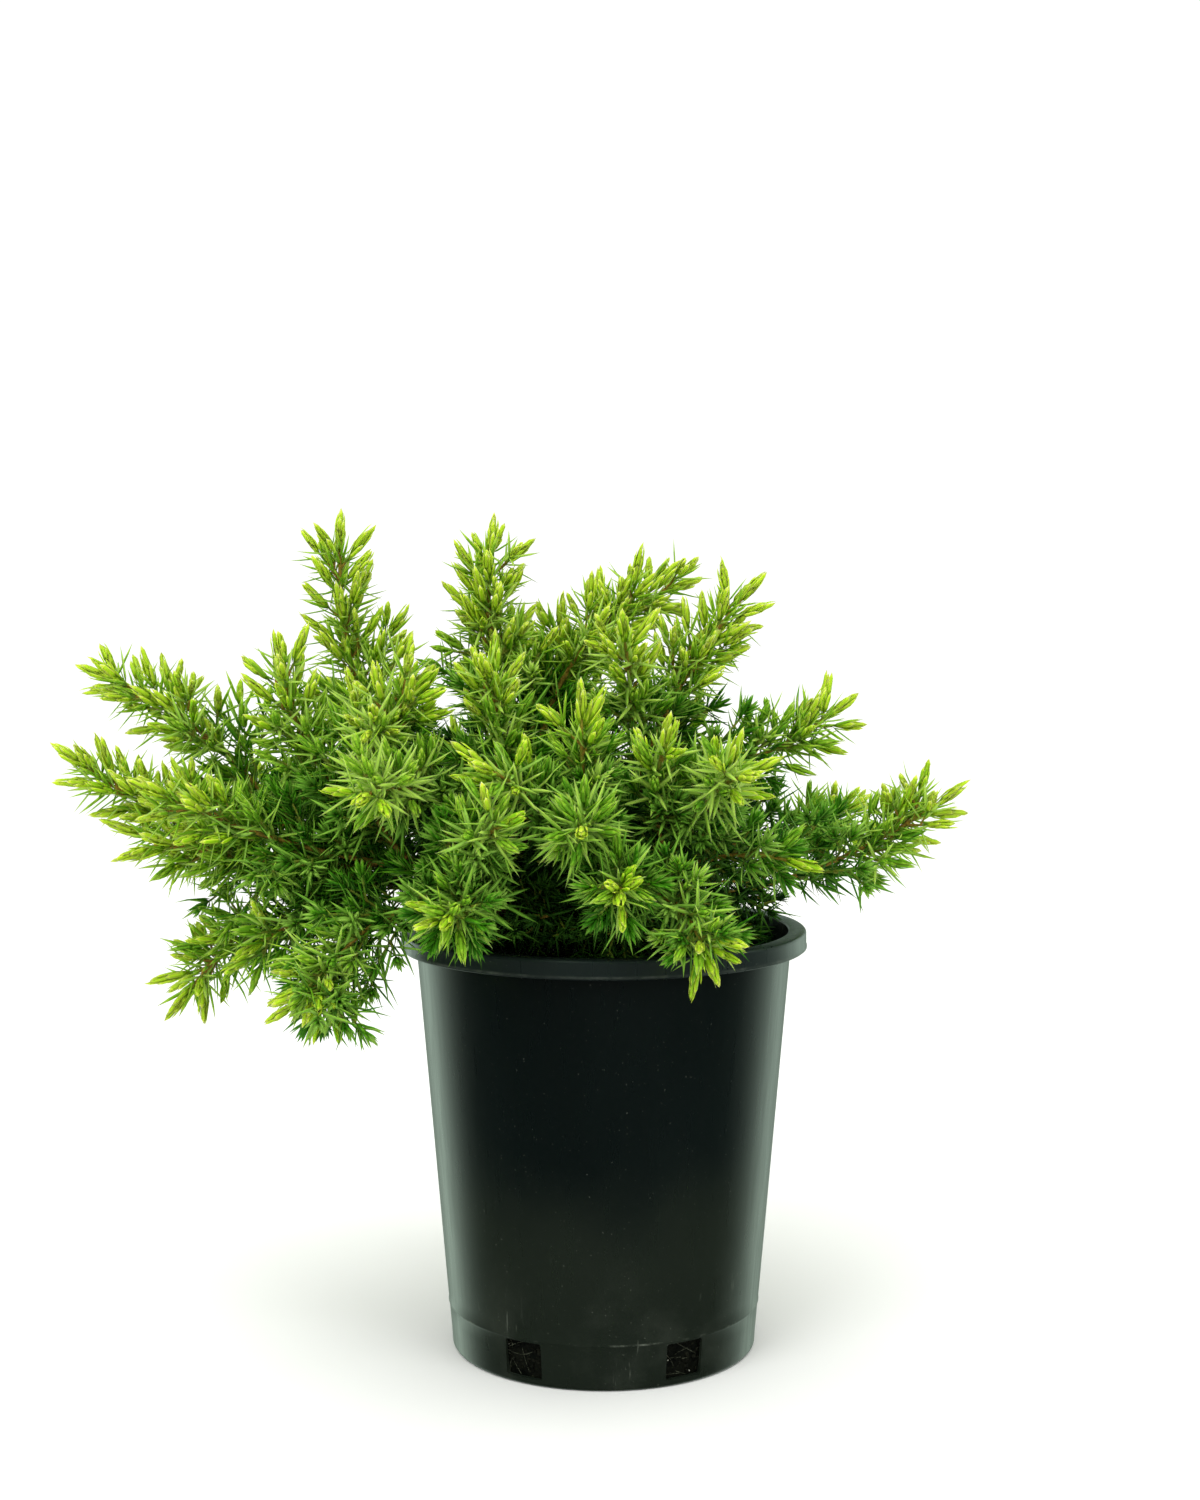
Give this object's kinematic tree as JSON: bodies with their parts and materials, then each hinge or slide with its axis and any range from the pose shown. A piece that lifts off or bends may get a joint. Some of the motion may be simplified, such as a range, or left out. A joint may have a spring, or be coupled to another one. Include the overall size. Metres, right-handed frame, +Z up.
{
  "type": "potted juniper",
  "caption": "Young golden shore juniper: arching boughs with whorled needle sprays, rooted in a filled black plastic nursery pot with a turned-down rim and drainage slots.",
  "frame": {"origin": "centre of the pot's flat underside, on the pot's axis", "axes": "+Z up along the pot's axis; the picture looks along +Y with +X to its right, so the longest plumes reach towards -X"},
  "size_m": [0.3844, 0.3036, 0.3487],
  "materials": {
    "pot": "satin black moulded polypropylene, lightly scuffed at the foot",
    "potting_mix": "moist composted bark with white grit",
    "bark": "thin olive-brown bark, darker and flaking towards the foot",
    "needles": "green needles with a pale band, golden at the shoot tips"
  },
  "bodies": {
    "root": {"bough_back": "bark", "bough_back_left": "bark", "bough_back_right": "bark", "bough_centre_left": "bark", "bough_centre_right": "bark", "bough_front": "bark", "bough_front_left_low": "bark", "bough_front_left_rising": "bark", "bough_front_low": "bark", "bough_hanging_left": "bark", "bough_left": "bark", "bough_left_front": "bark", "bough_left_rising": "bark", "bough_right": "bark", "bough_right_front": "bark", "foliage_arching_right": "needles", "foliage_back_far_right": "needles", "foliage_back_left": "needles", "foliage_back_low": "needles", "foliage_back_middle": "needles", "foliage_back_right": "needles", "foliage_back_rising": "needles", "foliage_back_shoulder": "needles", "foliage_back_upright": "needles", "foliage_facing_left": "needles", "foliage_facing_low_left": "needles", "foliage_far_left": "needles", "foliage_far_right": "needles", "foliage_front_centre": "needles", "foliage_front_golden": "needles", "foliage_front_high": "needles", "foliage_front_left": "needles", "foliage_front_middle": "needles", "foliage_front_right": "needles", "foliage_front_rising": "needles", "foliage_front_shoulder": "needles", "foliage_golden_right": "needles", "foliage_hanging_left": "needles", "foliage_high_right": "needles", "foliage_inner_back_left": "needles", "foliage_inner_back_right": "needles", "foliage_inner_front": "needles", "foliage_inner_left": "needles", "foliage_inner_right": "needles", "foliage_knob": "needles", "foliage_left_arching": "needles", "foliage_left_golden": "needles", "foliage_left_low": "needles", "foliage_left_upright": "needles", "foliage_low_left": "needles", "foliage_mid_right": "needles", "foliage_right_centre": "needles", "foliage_right_low": "needles", "foliage_short_left": "needles", "foliage_tall_left": "needles", "foliage_tall_middle": "needles", "foliage_upright_front": "needles", "pot": "pot", "potting_mix": "potting_mix", "trunk": "bark"}
  },
  "joints": []
}
